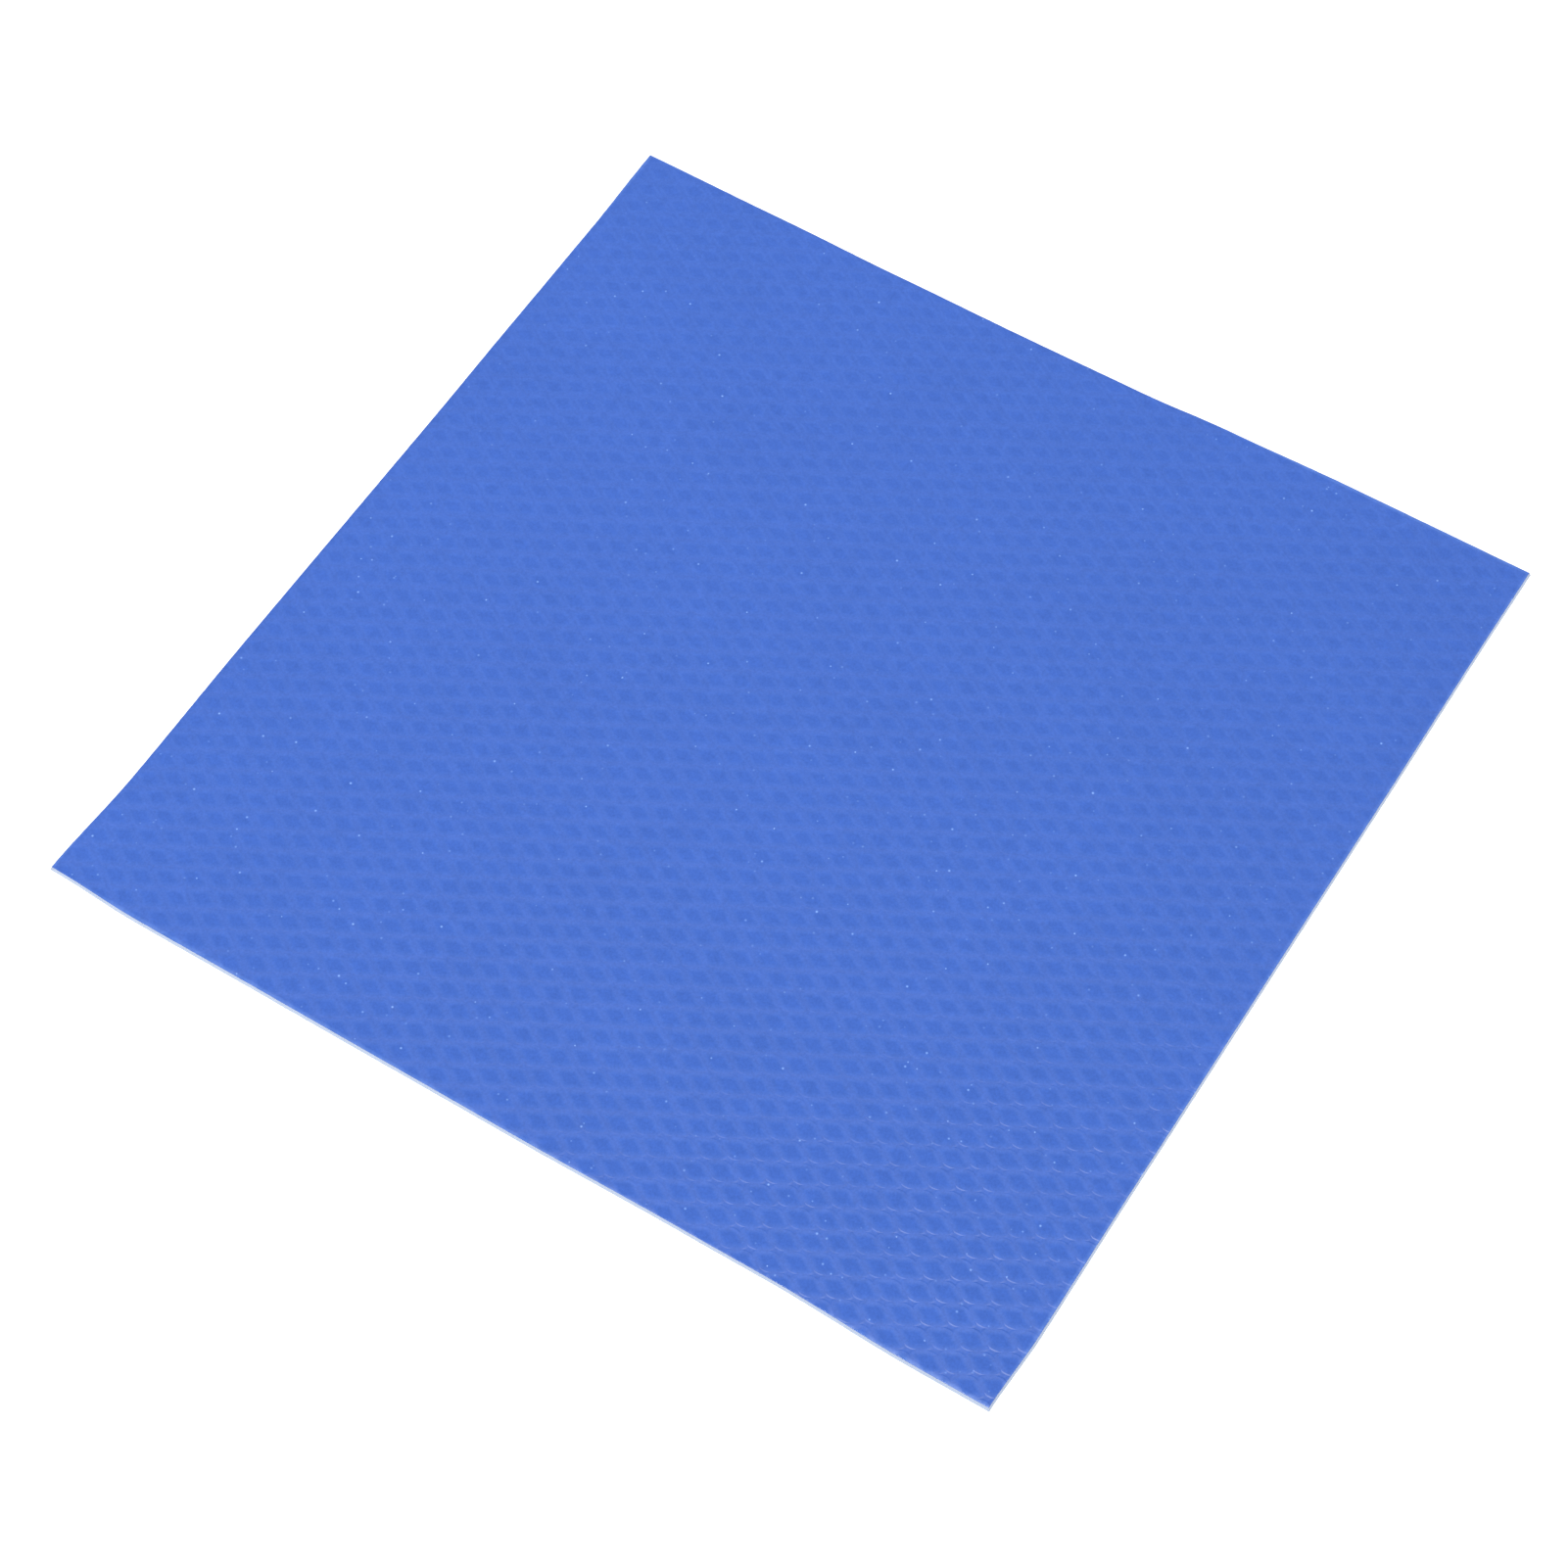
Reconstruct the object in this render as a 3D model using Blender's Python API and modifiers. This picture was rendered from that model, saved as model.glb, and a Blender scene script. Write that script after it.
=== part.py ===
"""Thermal pad sheet: a square of ceramic-filled silicone gap pad, lying flat.

Metres, +Z up. The origin is the middle of the underside, so the sheet lies on Z = 0, with its cut
edges along X and Y. The real sheet is one slab of soft rubber, cured in a wide web and cut to size
with a blade, so it is one solid here. The fine diamond embossing of its top face is a finish, and
is not part of this solid.
"""

import bpy

# The stock size that the sheet is cut to.
SHEET_LENGTH = 0.100  # along X
SHEET_WIDTH = 0.100  # along Y
SHEET_THICKNESS = 0.0005  # the gap that the pad fills, along Z

# The blade drags the soft top rim down into a small roll, and leaves the lower rim sharp.
RIM_ROLL = 0.00006
RIM_ROLL_STEPS = 3

# The blue silicone: a linear colour, with a surface between matt and satin.
SILICONE_COLOUR = (0.093, 0.191, 0.638, 1.0)
SILICONE_ROUGHNESS = 0.55
SILICONE_METALLIC = 0.0

PART_NAME = "thermal_pad_sheet"


def clear_scene():
    """Takes every object out of the scene, so that the part stands alone."""
    for old in list(bpy.data.objects):
        bpy.data.objects.remove(old, do_unlink=True)


def make_collection(name):
    """A collection for the part's solids, linked to the scene."""
    collection = bpy.data.collections.new(name)
    bpy.context.scene.collection.children.link(collection)
    return collection


def silicone_material():
    """Blue silicone rubber, filled with ceramic powder."""
    material = bpy.data.materials.new("blue_silicone")
    material.use_nodes = True
    shader = material.node_tree.nodes["Principled BSDF"]
    shader.inputs["Base Color"].default_value = SILICONE_COLOUR
    shader.inputs["Roughness"].default_value = SILICONE_ROUGHNESS
    shader.inputs["Metallic"].default_value = SILICONE_METALLIC
    material.diffuse_color = SILICONE_COLOUR
    return material


def weigh_top_rim(mesh):
    """Gives the full bevel weight to the four edges around the top face, and none to the others."""
    weights = mesh.attributes.new("bevel_weight_edge", "FLOAT", "EDGE")
    for edge in mesh.edges:
        ends = [mesh.vertices[index].co.z for index in edge.vertices]
        weights.data[edge.index].value = 1.0 if min(ends) > 0.0 else 0.0


def cut_sheet(collection):
    """The sheet: a slab of the stock size, lying on Z = 0, with its top rim rolled over."""
    bpy.ops.mesh.primitive_cube_add(size=1.0, location=(0.0, 0.0, SHEET_THICKNESS / 2))
    sheet = bpy.context.active_object
    sheet.name = PART_NAME
    sheet.data.name = PART_NAME
    sheet.scale = (SHEET_LENGTH, SHEET_WIDTH, SHEET_THICKNESS)
    bpy.ops.object.transform_apply(location=False, rotation=False, scale=True)
    for holder in list(sheet.users_collection):
        holder.objects.unlink(sheet)
    collection.objects.link(sheet)

    weigh_top_rim(sheet.data)
    roll = sheet.modifiers.new("top_rim_roll", "BEVEL")
    roll.limit_method = "WEIGHT"
    roll.width = RIM_ROLL
    roll.segments = RIM_ROLL_STEPS

    sheet.data.materials.append(silicone_material())
    return sheet


clear_scene()
cut_sheet(make_collection(PART_NAME))
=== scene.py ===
import math

import bmesh
import bpy
from mathutils import Matrix, Vector, noise


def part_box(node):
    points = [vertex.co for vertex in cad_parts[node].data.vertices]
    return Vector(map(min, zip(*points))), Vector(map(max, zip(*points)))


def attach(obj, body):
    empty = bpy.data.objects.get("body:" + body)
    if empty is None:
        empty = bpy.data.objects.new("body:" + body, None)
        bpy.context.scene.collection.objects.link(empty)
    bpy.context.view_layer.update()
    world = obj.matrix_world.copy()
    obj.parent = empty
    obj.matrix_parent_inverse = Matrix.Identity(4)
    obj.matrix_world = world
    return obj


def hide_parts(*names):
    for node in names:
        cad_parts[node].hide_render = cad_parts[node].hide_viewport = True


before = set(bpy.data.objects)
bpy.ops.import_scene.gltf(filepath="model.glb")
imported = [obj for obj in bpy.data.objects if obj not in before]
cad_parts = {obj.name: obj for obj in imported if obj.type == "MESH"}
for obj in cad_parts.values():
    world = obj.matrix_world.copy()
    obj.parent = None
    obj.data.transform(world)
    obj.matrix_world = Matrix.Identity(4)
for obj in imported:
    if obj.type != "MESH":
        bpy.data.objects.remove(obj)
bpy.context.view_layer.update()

# The camera stands 0.36 m from the sheet and looks down on it over the near corner. Its place and
# turns come from the four corners of the square sheet, in a square picture.
CAMERA_PLACE = (0.10782, -0.16259, 0.30358)
CAMERA_AZIMUTH = math.radians(34.17)
CAMERA_ELEVATION = math.radians(58.20)
CAMERA_ROLL = math.radians(-2.147)
CAMERA_SENSOR = 36.0  # mm
CAMERA_LENS = 88.62  # mm

camera_data = bpy.data.cameras.new("camera")
camera_data.sensor_fit = "HORIZONTAL"
camera_data.sensor_width = CAMERA_SENSOR
camera_data.lens = CAMERA_LENS
camera_data.clip_start = 0.01
camera_data.clip_end = 20.0
camera = bpy.data.objects.new("camera", camera_data)
camera.matrix_world = (
    Matrix.Translation(CAMERA_PLACE)
    @ Matrix.Rotation(CAMERA_AZIMUTH, 4, "Z")
    @ Matrix.Rotation(math.pi / 2 - CAMERA_ELEVATION, 4, "X")
    @ Matrix.Rotation(CAMERA_ROLL, 4, "Z")
)
bpy.context.scene.collection.objects.link(camera)
bpy.context.scene.camera = camera

# The sheet: one slab of soft silicone, filled with ceramic powder and cured against an embossed film.
# The film presses rows of flat diamonds into its face, with low rims around them, and leaves a fine
# seam between the rims of neighbours. A blade cuts the sheet from its web, at a slant to the rows.
SHEET_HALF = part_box("thermal_pad_sheet")[1].x
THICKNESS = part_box("thermal_pad_sheet")[1].z

ROW_PITCH = (0.002127, 0.002080)  # from seam to seam, for each of the two sets of rows
ROW_ANGLE = (math.radians(-29.45), math.radians(32.54))  # of each set's normal, from +Y
ROW_PHASE = (0.64, 0.22)  # in pitches, at the middle of the sheet
FLOOR_DEPTH = 0.000010  # the pressed diamonds, below the rims
SEAM_DEPTH = 0.000001  # the seams, below the rims
FLOOR_REACH = 0.50  # how far a diamond's floor goes, as a share of the way from its middle to the seam
RIM_REACH = 0.90  # where the rim is highest, as the same share
CORNER_POWER = 8.0  # how square the corners of a diamond are
CROSSING_DEPTH = 3.0  # how much deeper the seam is where two seams cross, as a share
CROSSING_POWER = 2.0  # how soon that ends away from the crossing
MESH_STOPS = (  # the mesh's lines across a row of each set, as shares of the row
    (0.0, 0.05, 0.14, 0.25, 0.75, 0.85, 0.95),
    (0.0, 0.05, 0.25, 0.75, 0.85, 0.95),
)

ROW_NORMALS = [
    Vector((math.sin(angle), math.cos(angle))) / pitch for angle, pitch in zip(ROW_ANGLE, ROW_PITCH)
]


def to_cells(x, y):
    """Where a point of the sheet lies among the rows: a seam runs at each whole number."""
    point = Vector((x, y))
    return [normal.dot(point) + phase for normal, phase in zip(ROW_NORMALS, ROW_PHASE)]


def from_cells(first, second):
    """The point of the sheet at a place among the rows."""
    a, b = ROW_NORMALS
    first -= ROW_PHASE[0]
    second -= ROW_PHASE[1]
    cross = a.x * b.y - a.y * b.x
    return (first * b.y - second * a.y) / cross, (second * a.x - first * b.x) / cross


def press(x, y):
    """How far the film presses the face down, measured from the rims."""
    nearness = [1.0 - 2.0 * abs(t - round(t)) for t in to_cells(x, y)]
    reach = sum(n ** CORNER_POWER for n in nearness) ** (1.0 / CORNER_POWER)
    if reach < RIM_REACH:
        climb = max(reach - FLOOR_REACH, 0.0) / (RIM_REACH - FLOOR_REACH)
        return FLOOR_DEPTH * (1.0 - climb ** 2)
    crossing = (nearness[0] * nearness[1]) ** CROSSING_POWER
    dip = min((reach - RIM_REACH) / (1.0 - RIM_REACH), 1.0)
    return SEAM_DEPTH * (1.0 + CROSSING_DEPTH * crossing) * dip


RIM_ROLL = 0.00006  # the blade rolls the top edge over
ROLL_TURNS = (30.0, 60.0, 90.0)  # degrees down the roll, one ring each
CUT_TOLERANCE = 1e-7
inner_half = SHEET_HALF - RIM_ROLL

corners = [to_cells(x, y) for x in (-SHEET_HALF, SHEET_HALF) for y in (-SHEET_HALF, SHEET_HALF)]
first_cell = [math.floor(min(c[k] for c in corners)) - 1 for k in (0, 1)]
cell_count = [math.ceil(max(c[k] for c in corners)) + 1 - first_cell[k] for k in (0, 1)]
lines = [cell_count[k] * len(MESH_STOPS[k]) for k in (0, 1)]

sheet_bm = bmesh.new()
bmesh.ops.create_grid(sheet_bm, x_segments=lines[0], y_segments=lines[1], size=0.5)
for vertex in sheet_bm.verts:
    place = []
    for k in (0, 1):
        cell, stop = divmod(round((vertex.co[k] + 0.5) * lines[k]), len(MESH_STOPS[k]))
        place.append(first_cell[k] + cell + MESH_STOPS[k][stop])
    vertex.co = (*from_cells(*place), THICKNESS)

for cut in (Vector((1, 0, 0)), Vector((-1, 0, 0)), Vector((0, 1, 0)), Vector((0, -1, 0))):
    bmesh.ops.bisect_plane(
        sheet_bm,
        geom=sheet_bm.verts[:] + sheet_bm.edges[:] + sheet_bm.faces[:],
        dist=CUT_TOLERANCE,
        plane_co=cut * inner_half,
        plane_no=cut,
        clear_outer=True,
    )
for vertex in sheet_bm.verts:
    vertex.co.z -= press(vertex.co.x, vertex.co.y)

# A faint crease runs along each row at both edges of its diamonds' floors.
CREASES = (0.25, 0.75)  # as shares of the row
CREASE_TOLERANCE = 0.001
for edge in sheet_bm.edges:
    ends = [to_cells(vertex.co.x, vertex.co.y) for vertex in edge.verts]
    for k in (0, 1):
        shares = [end[k] % 1.0 for end in ends]
        for crease in CREASES:
            if all(abs(share - crease) < CREASE_TOLERANCE for share in shares):
                edge.smooth = False

# The top edge rolls over in rings, then the cut side drops to the underside. The blade leans, so
# the foot of the cut stands out a little.
CUT_LEAN = 0.00012
outline = [edge for edge in sheet_bm.edges if edge.is_boundary]
ring_half = inner_half
ring_drop = 0.0
for turn in ROLL_TURNS + (None,):
    grown = bmesh.ops.extrude_edge_only(sheet_bm, edges=outline)["geom"]
    ring = [item for item in grown if isinstance(item, bmesh.types.BMVert)]
    outline = [item for item in grown if isinstance(item, bmesh.types.BMEdge) and item.is_boundary]
    if turn is None:
        for vertex in ring:
            vertex.co.x *= 1.0 + CUT_LEAN / ring_half
            vertex.co.y *= 1.0 + CUT_LEAN / ring_half
            vertex.co.z = 0.0
    else:
        next_half = inner_half + RIM_ROLL * math.sin(math.radians(turn))
        next_drop = RIM_ROLL * (1.0 - math.cos(math.radians(turn)))
        for vertex in ring:
            vertex.co.x *= next_half / ring_half
            vertex.co.y *= next_half / ring_half
            vertex.co.z -= next_drop - ring_drop
        ring_half, ring_drop = next_half, next_drop

# The underside closes the foot of the cut, as squares and not as one face with thousands of corners.
UNDERSIDE_STEPS = 24  # squares along a side
underside = bmesh.ops.contextual_create(sheet_bm, geom=outline)["faces"]
underside += outline + ring
for k in (0, 1):
    cut = Vector((1 - k, k, 0))
    for step in range(1, UNDERSIDE_STEPS):
        underside = bmesh.ops.bisect_plane(
            sheet_bm,
            geom=underside,
            dist=CUT_TOLERANCE,
            plane_co=cut * SHEET_HALF * (2.0 * step / UNDERSIDE_STEPS - 1.0),
            plane_no=cut,
        )["geom"]
bmesh.ops.recalc_face_normals(sheet_bm, faces=sheet_bm.faces[:])

# The UV map holds each point's place among the rows, for the face's material. The sheet's other
# materials go to the cut side, with the last turn of the roll, and to the underside.
CUT_SIDE, UNDERSIDE = 1, 2
STEEP = 0.3  # a face whose normal rises less than this is of the cut side
emboss_uv = sheet_bm.loops.layers.uv.new("emboss")
for face in sheet_bm.faces:
    if all(vertex.co.z == 0.0 for vertex in face.verts):
        face.material_index = UNDERSIDE
    elif abs(face.normal.z) < STEEP:
        face.material_index = CUT_SIDE
    face.smooth = True
    for loop in face.loops:
        loop[emboss_uv].uv = to_cells(loop.vert.co.x, loop.vert.co.y)
for edge in sheet_bm.edges:
    if {face.material_index for face in edge.link_faces} == {CUT_SIDE, UNDERSIDE}:
        edge.smooth = False

# The blade wanders a little along each side. Each pair is a place along the side, and how far the
# cut stands out there, in millimetres.
CUT_FRONT = (
    (-50, -0.15), (-40, 0.2), (-25, 0.15), (0, 0.1), (20, -0.1), (28, -0.15), (42, 0.17), (50, 0.12),
)
CUT_RIGHT = ((-50, -0.15), (-42, 0.15), (-25, 0.08), (20, 0.08), (40, 0.03), (50, 0.06))
CUT_BACK = (
    (-50, 0.0), (-35, -0.13), (-20, -0.33), (-5, -0.42), (8, -0.36), (18, 0.0), (30, 0.19), (50, 0.13),
)
CUT_LEFT = ((-50, 0.1), (-38, -0.33), (-20, -0.18), (10, -0.2), (25, -0.1), (38, -0.05), (50, 0.19))
MM_PER_METRE = 1000.0
CUT_REACH = 0.008  # how far in from a side its wander is felt
SNAG_DEPTH = 0.000015  # the fine tearing of the cut
SNAG_LENGTH = 0.0006
SNAG_REACH = 2 * RIM_ROLL  # how far in from a side the tearing goes


def wander(points, along):
    """The departure of a cut side, eased from one point to the next."""
    place = along * MM_PER_METRE
    for (start, low), (end, high) in zip(points, points[1:]):
        if place <= end:
            share = max(place - start, 0.0) / (end - start)
            return (low + (high - low) * (1.0 - math.cos(math.pi * share)) / 2) / MM_PER_METRE
    return points[-1][1] / MM_PER_METRE


for vertex in sheet_bm.verts:
    x, y = vertex.co.x, vertex.co.y
    snag = noise.noise(Vector((x, y, 0.0)) / SNAG_LENGTH) * SNAG_DEPTH
    for points, along, depth, axis, way in (
        (CUT_FRONT, x, SHEET_HALF + y, 1, -1),
        (CUT_BACK, x, SHEET_HALF - y, 1, 1),
        (CUT_LEFT, y, SHEET_HALF + x, 0, -1),
        (CUT_RIGHT, y, SHEET_HALF - x, 0, 1),
    ):
        hold = max(1.0 - depth / CUT_REACH, 0.0) ** 2
        if hold > 0.0:
            vertex.co[axis] += way * wander(points, along) * hold
        if depth < SNAG_REACH:
            vertex.co[axis] += way * snag

sheet_mesh = bpy.data.meshes.new("embossed_sheet")
sheet_bm.to_mesh(sheet_mesh)
sheet_bm.free()
sheet = bpy.data.objects.new("embossed_sheet", sheet_mesh)
bpy.context.scene.collection.objects.link(sheet)


def add_node(tree, kind, inputs=None, **settings):
    """A node with its settings, and its inputs set to values or linked to other sockets."""
    new = tree.nodes.new(kind)
    for name, value in settings.items():
        setattr(new, name, value)
    for key, value in (inputs or {}).items():
        if isinstance(value, bpy.types.NodeSocket):
            tree.links.new(value, new.inputs[key])
        else:
            new.inputs[key].default_value = value
    return new


def add_math(tree, operation, *values):
    """The result of a sum on values or sockets."""
    return add_node(tree, "ShaderNodeMath", dict(enumerate(values)), operation=operation).outputs[0]


def add_ramp(tree, value, low, high, result_low=0.0, result_high=1.0):
    """A smooth step from one result to the other as the value goes from low to high."""
    inputs = {"Value": value, "From Min": low, "From Max": high, "To Min": result_low, "To Max": result_high}
    return add_node(tree, "ShaderNodeMapRange", inputs, interpolation_type="SMOOTHSTEP").outputs[0]


# The filled silicone itself: pigment and powder that never mix quite evenly, a fine pebble, and a
# few flecks: bare grains of the white powder at the surface, painted paler also as the glints they make.
FINE_SCALE, COARSE_SCALE, CLOUD_SCALE = 5200.0, 1100.0, 55.0  # patches to a metre
TONE_ROUGHNESS = 0.6
FINE_TINT, COARSE_TINT, CLOUD_TINT = 0.34, 0.20, 0.10  # how far each makes the colour lighter or darker
FINE_HEIGHT, COARSE_HEIGHT, FLECK_HEIGHT = 0.0000035, 0.000006, 0.00002
COARSE_WEAR = 0.12  # how far the coarse tone makes the surface rougher or smoother
FLECK_SPACING = 0.001
FLECK_RADIUS = 0.00016
FLECK_SIZES = (0.7, 1.1)  # the smallest and largest, as shares of that radius
FLECK_FAINTEST = 0.2  # how far a fleck hides the blue, as a share
FLECK_STRONGEST = 0.9
FLECK_STRONG_POWER = 3.0  # how few of them are as strong as that
# The flecks' colour: the pale blue of bare powder grains, lightened as a painted glint.
FLECK_COLOUR = (0.25, 0.44, 0.90, 1.0)
FLECK_CLOUDING = 3.0  # flecks lie thicker where the clouds are light
FLECK_GLINT_DRIFT = Vector((8.0, -8.0, 0.0))  # and thicker towards the near corner, as a share per metre: painted glints, where the light would catch them

silicone = bpy.data.node_groups.new("filled_silicone", "ShaderNodeTree")
for name, kind in (
    ("Place", "NodeSocketVector"),
    ("Colour", "NodeSocketColor"),
    ("Roughness", "NodeSocketFloat"),
    ("Grain", "NodeSocketFloat"),
    ("Fleck Share", "NodeSocketFloat"),
):
    silicone.interface.new_socket(name, in_out="INPUT", socket_type=kind)
for name, kind in (
    ("Colour", "NodeSocketColor"),
    ("Roughness", "NodeSocketFloat"),
    ("Height", "NodeSocketFloat"),
):
    silicone.interface.new_socket(name, in_out="OUTPUT", socket_type=kind)
given = silicone.nodes.new("NodeGroupInput").outputs
tones = []
for scale, detail in ((FINE_SCALE, 1.0), (COARSE_SCALE, 2.0), (CLOUD_SCALE, 3.0)):
    inputs = {"Vector": given["Place"], "Scale": scale, "Detail": detail, "Roughness": TONE_ROUGHNESS}
    tone = add_node(silicone, "ShaderNodeTexNoise", inputs).outputs["Fac"]
    tones.append(add_math(silicone, "SUBTRACT", tone, 0.5))
fine, coarse, cloud = tones

spots = add_node(
    silicone,
    "ShaderNodeTexVoronoi",
    {"Vector": given["Place"], "Scale": 1.0 / FLECK_SPACING},
    voronoi_dimensions="2D",
)
draw = add_node(silicone, "ShaderNodeSeparateColor", {"Color": spots.outputs["Color"]}).outputs
# Painted glints: the flecks grow thicker towards the near corner, where the light would make them glint.
glint_drift = add_node(
    silicone,
    "ShaderNodeVectorMath",
    {0: given["Place"], 1: FLECK_GLINT_DRIFT},
    operation="DOT_PRODUCT",
).outputs["Value"]
crowd = add_math(silicone, "MULTIPLY_ADD", cloud, FLECK_CLOUDING, glint_drift)
crowd = add_math(silicone, "ADD", crowd, 1.0)
fleck_share = add_math(silicone, "MULTIPLY", given["Fleck Share"], crowd)
chosen = add_math(silicone, "LESS_THAN", draw["Red"], fleck_share)
fleck_radii = [share * FLECK_RADIUS for share in FLECK_SIZES]
fleck_radius = add_ramp(silicone, draw["Green"], 0.0, 1.0, *fleck_radii)
fleck_edge = add_math(silicone, "DIVIDE", fleck_radius, FLECK_SPACING)
within = add_ramp(silicone, spots.outputs["Distance"], 0.0, fleck_edge, 1.0, 0.0)
# How strongly a fleck shows: partly its bare grain, partly its painted glint.
grain_and_glint_strength = add_math(silicone, "POWER", draw["Blue"], FLECK_STRONG_POWER)
grain_and_glint_strength = add_math(silicone, "MULTIPLY_ADD", grain_and_glint_strength, FLECK_STRONGEST - FLECK_FAINTEST, FLECK_FAINTEST)
fleck = add_math(silicone, "MULTIPLY", add_math(silicone, "MULTIPLY", chosen, within), grain_and_glint_strength)

tint = add_math(silicone, "MULTIPLY", fine, FINE_TINT)
tint = add_math(silicone, "MULTIPLY_ADD", coarse, COARSE_TINT, tint)
tint = add_math(silicone, "MULTIPLY_ADD", cloud, CLOUD_TINT, tint)
tint = add_math(silicone, "MULTIPLY_ADD", tint, given["Grain"], 1.0)
tinted = add_node(
    silicone,
    "ShaderNodeVectorMath",
    {0: given["Colour"], "Scale": tint},
    operation="SCALE",
).outputs["Vector"]
flecked = add_node(
    silicone,
    "ShaderNodeMix",
    {"Factor": fleck, "A": tinted, "B": FLECK_COLOUR},
    data_type="RGBA",
).outputs["Result"]
height = add_math(silicone, "MULTIPLY", fine, FINE_HEIGHT)
height = add_math(silicone, "MULTIPLY_ADD", coarse, COARSE_HEIGHT, height)
height = add_math(silicone, "MULTIPLY_ADD", fleck, FLECK_HEIGHT, height)
worn = add_math(silicone, "MULTIPLY_ADD", coarse, COARSE_WEAR, given["Roughness"])
result = silicone.nodes.new("NodeGroupOutput").inputs
silicone.links.new(flecked, result["Colour"])
silicone.links.new(worn, result["Roughness"])
silicone.links.new(height, result["Height"])

SILICONE_IOR = 1.43


def silicone_material(name, colour, roughness, grain, fleck_share, relief=1.0):
    """A material of the filled silicone, with its node tree, its group node and its bump node."""
    material = bpy.data.materials.new(name)
    material.use_nodes = True
    tree = material.node_tree
    shader = tree.nodes["Principled BSDF"]
    shader.inputs["IOR"].default_value = SILICONE_IOR
    body_inputs = {
        "Place": add_node(tree, "ShaderNodeTexCoord").outputs["Object"],
        "Colour": colour,
        "Roughness": roughness,
        "Grain": grain,
        "Fleck Share": fleck_share,
    }
    body = add_node(tree, "ShaderNodeGroup", body_inputs, node_tree=silicone)
    bump_inputs = {"Height": body.outputs["Height"], "Distance": 1.0, "Strength": relief}
    bump = add_node(tree, "ShaderNodeBump", bump_inputs)
    tree.links.new(body.outputs["Colour"], shader.inputs["Base Color"])
    tree.links.new(body.outputs["Roughness"], shader.inputs["Roughness"])
    tree.links.new(bump.outputs["Normal"], shader.inputs["Normal"])
    return material, tree, body, bump


# The face: smooth in the pressed diamonds and duller over the rims between. Its colour holds painted
# shade and sheen: deep blue in the diamonds and a little deeper again in the seam, where shade would
# lie in the hollows, and paler over the rims, as a painted sheen. Where seams cross there is a small
# round pit, whose wall is too thin for the mesh.
SHADE_AND_SHEEN_ZONES = (  # each is a reach from a diamond's middle, then the colour, painted shade and sheen included, and the roughness there
    (FLOOR_REACH - 0.07, (0.0451, 0.1152, 0.4470, 1.0), 0.13),
    (FLOOR_REACH + 0.02, (0.0474, 0.1190, 0.4540, 1.0), 0.20),
    (0.66, (0.0500, 0.1232, 0.4610, 1.0), 0.27),
    (0.80, (0.0484, 0.1212, 0.4570, 1.0), 0.35),
    (0.95, (0.0438, 0.1142, 0.4460, 1.0), 0.47),
)
SECOND_GLOSS = 0.08  # how much less rough the seams of the second set of rows are
SECOND_REACH = (0.75, 1.0)  # from where to where that grows, as shares of the way to the seam
EDGE_HIGHLIGHT_WIDTH = 0.0003  # a painted highlight makes the last of the face paler, where the top edge rolls over
EDGE_HIGHLIGHT_SHARE = 0.12
WALL_DEPTH = 0.000023  # of the pit at each crossing, whose wall shows as an arc
WALL_POWERS = (3.0, 2.0)  # how round the wall is: its arc runs out further along the first set's seams
WALL_REACH = (1.0, 1.14)  # where the wall starts and ends
WALL_SCALE = 150.0  # the wall is uneven from place to place
WALL_UNEVEN = (0.4, 1.6)  # its least and most, as shares of its depth
WALL_NOISE = (0.3, 0.7)  # the noise that gives the least and the most
WALL_FAR = 0.2  # its share away from the corner where it is deepest
WALL_CORNER = (0.045, 0.083)  # from where to where it grows towards that corner, by x less y
face_material, tree, body, bump = silicone_material(
    "embossed_face", SHADE_AND_SHEEN_ZONES[1][1], roughness=0.40, grain=1.0, fleck_share=0.065
)
rows = add_node(tree, "ShaderNodeUVMap", uv_map="emboss").outputs["UV"]
split = add_node(tree, "ShaderNodeSeparateXYZ", {"Vector": rows}).outputs
nearness = []
for k in (0, 1):
    share = add_math(tree, "FRACT", add_math(tree, "ADD", split[k], 0.5))
    away = add_math(tree, "ABSOLUTE", add_math(tree, "SUBTRACT", share, 0.5))
    nearness.append(add_math(tree, "MULTIPLY_ADD", away, -2.0, 1.0))
powers = [add_math(tree, "POWER", near, CORNER_POWER) for near in nearness]
reach = add_math(tree, "POWER", add_math(tree, "ADD", *powers), 1.0 / CORNER_POWER)
# The colour by reach is painted shade in the diamonds and seams and a painted sheen on the rims.
shade_and_sheen_zone = add_node(tree, "ShaderNodeValToRGB", {"Fac": reach})
gloss = add_node(tree, "ShaderNodeValToRGB", {"Fac": reach})
for end, (place, colour, roughness) in ((0, SHADE_AND_SHEEN_ZONES[0]), (1, SHADE_AND_SHEEN_ZONES[-1])):
    shade_and_sheen_zone.color_ramp.elements[end].color = colour
    gloss.color_ramp.elements[end].color = (roughness,) * 3 + (1.0,)
for place, colour, roughness in SHADE_AND_SHEEN_ZONES:
    shade_and_sheen_zone.color_ramp.elements.new(place).color = colour
    gloss.color_ramp.elements.new(place).color = (roughness,) * 3 + (1.0,)
object_place = add_node(tree, "ShaderNodeTexCoord").outputs["Object"]
sides = add_node(tree, "ShaderNodeSeparateXYZ", {"Vector": object_place}).outputs
outward = add_math(tree, "MAXIMUM", *(add_math(tree, "ABSOLUTE", sides[k]) for k in (0, 1)))
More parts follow.
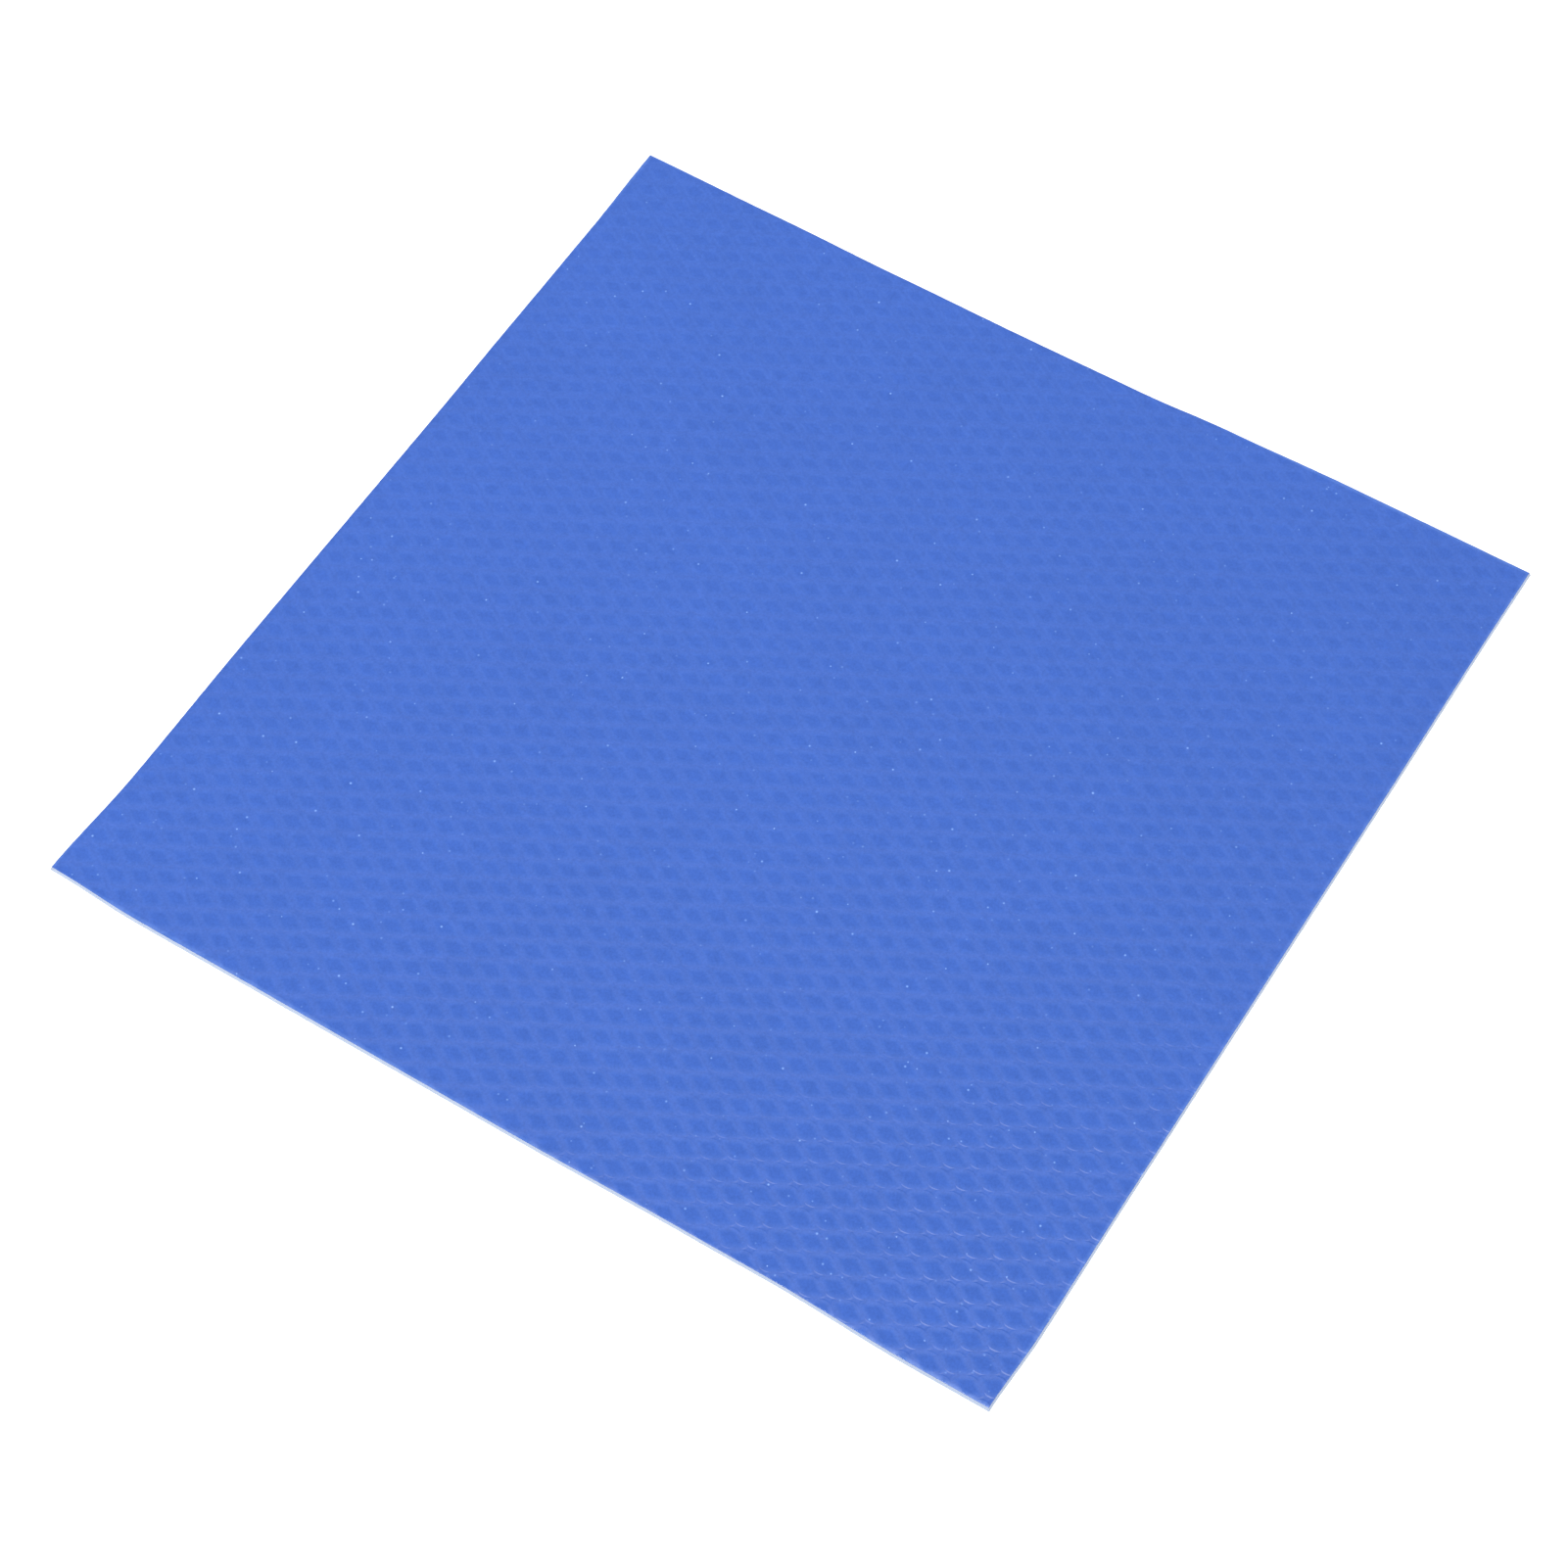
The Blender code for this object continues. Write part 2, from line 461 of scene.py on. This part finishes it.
# A painted highlight along the rolled top edge: the face turns paler over its last few tenths of a
# millimetre.
edge_highlight = add_ramp(tree, outward, SHEET_HALF - EDGE_HIGHLIGHT_WIDTH, SHEET_HALF, 0.0, EDGE_HIGHLIGHT_SHARE)
edge_highlighted = add_node(
    tree,
    "ShaderNodeMix",
    {"Factor": edge_highlight, "A": shade_and_sheen_zone.outputs["Color"], "B": FLECK_COLOUR},
    data_type="RGBA",
)
tree.links.new(edge_highlighted.outputs["Result"], body.inputs["Colour"])
second = add_ramp(tree, nearness[1], *SECOND_REACH, 0.0, -SECOND_GLOSS)
tree.links.new(add_math(tree, "ADD", gloss.outputs["Color"], second), body.inputs["Roughness"])
round_powers = [add_math(tree, "POWER", near, power) for near, power in zip(nearness, WALL_POWERS)]
round_reach = add_math(tree, "POWER", add_math(tree, "ADD", *round_powers), 1.0 / WALL_POWERS[0])
uneven = add_node(tree, "ShaderNodeTexNoise", {"Vector": object_place, "Scale": WALL_SCALE}).outputs["Fac"]
uneven = add_ramp(tree, uneven, *WALL_NOISE, *(-share * WALL_DEPTH for share in WALL_UNEVEN))
pressed = add_ramp(tree, add_math(tree, "SUBTRACT", sides[0], sides[1]), *WALL_CORNER, WALL_FAR, 1.0)
wall = add_math(tree, "MULTIPLY", add_ramp(tree, round_reach, *WALL_REACH), uneven)
wall = add_math(tree, "MULTIPLY", wall, pressed)
tree.links.new(add_math(tree, "ADD", body.outputs["Height"], wall), bump.inputs["Height"])
sheet_mesh.materials.append(face_material)

# The cut side: a pale greyish blue, far paler than the face.
CUT_COLOUR = (0.48, 0.56, 0.72, 1.0)
cut_material = silicone_material(
    "cut_side", CUT_COLOUR, roughness=0.55, grain=0.5, fleck_share=0.0, relief=0.25
)[0]
sheet_mesh.materials.append(cut_material)

# The underside: the plain face that was cured against smooth film.
PLAIN_COLOUR = (0.041, 0.113, 0.458, 1.0)
plain_material = silicone_material(
    "underside", PLAIN_COLOUR, roughness=0.36, grain=0.8, fleck_share=0.02
)[0]
sheet_mesh.materials.append(plain_material)

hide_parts("thermal_pad_sheet")
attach(sheet, "root")

# The ground: a plain white table, lit until it is pure white in the picture.
GROUND_SIDE = 6.0
GROUND_COLOUR = (0.95, 0.95, 0.95, 1.0)
bpy.ops.mesh.primitive_plane_add(size=GROUND_SIDE, location=(0.0, 0.0, 0.0))
ground = bpy.context.active_object
ground.name = "ground"
ground_material = bpy.data.materials.new("white_ground")
ground_material.use_nodes = True
ground_shader = ground_material.node_tree.nodes["Principled BSDF"]
ground_shader.inputs["Base Color"].default_value = GROUND_COLOUR
ground_shader.inputs["Roughness"].default_value = 1.0
ground_shader.inputs["Specular IOR Level"].default_value = 0.0
ground.data.materials.append(ground_material)

# The light: a pale room all round, and one broad soft box overhead.
ROOM_STRENGTH = 0.30
world = bpy.data.worlds.new("room")
bpy.context.scene.world = world
world.use_nodes = True
world.node_tree.nodes["Background"].inputs["Color"].default_value = (1.0, 1.0, 1.0, 1.0)
world.node_tree.nodes["Background"].inputs["Strength"].default_value = ROOM_STRENGTH

SOFTBOX_SIDE = 0.5
SOFTBOX_PLACE = Vector((0.0, -0.15, 0.9))
SOFTBOX_AIM = Vector((-0.65, 0.55, 0.0))
SOFTBOX_POWER = 12.9
softbox_data = bpy.data.lights.new("softbox", "AREA")
softbox_data.shape = "SQUARE"
softbox_data.size = SOFTBOX_SIDE
softbox_data.energy = SOFTBOX_POWER
softbox = bpy.data.objects.new("softbox", softbox_data)
softbox_turn = (SOFTBOX_PLACE - SOFTBOX_AIM).to_track_quat("Z", "Y")
softbox.matrix_world = Matrix.Translation(SOFTBOX_PLACE) @ softbox_turn.to_matrix().to_4x4()
bpy.context.scene.collection.objects.link(softbox)

bpy.context.scene.view_settings.view_transform = "Standard"
bpy.context.scene.view_settings.look = "None"
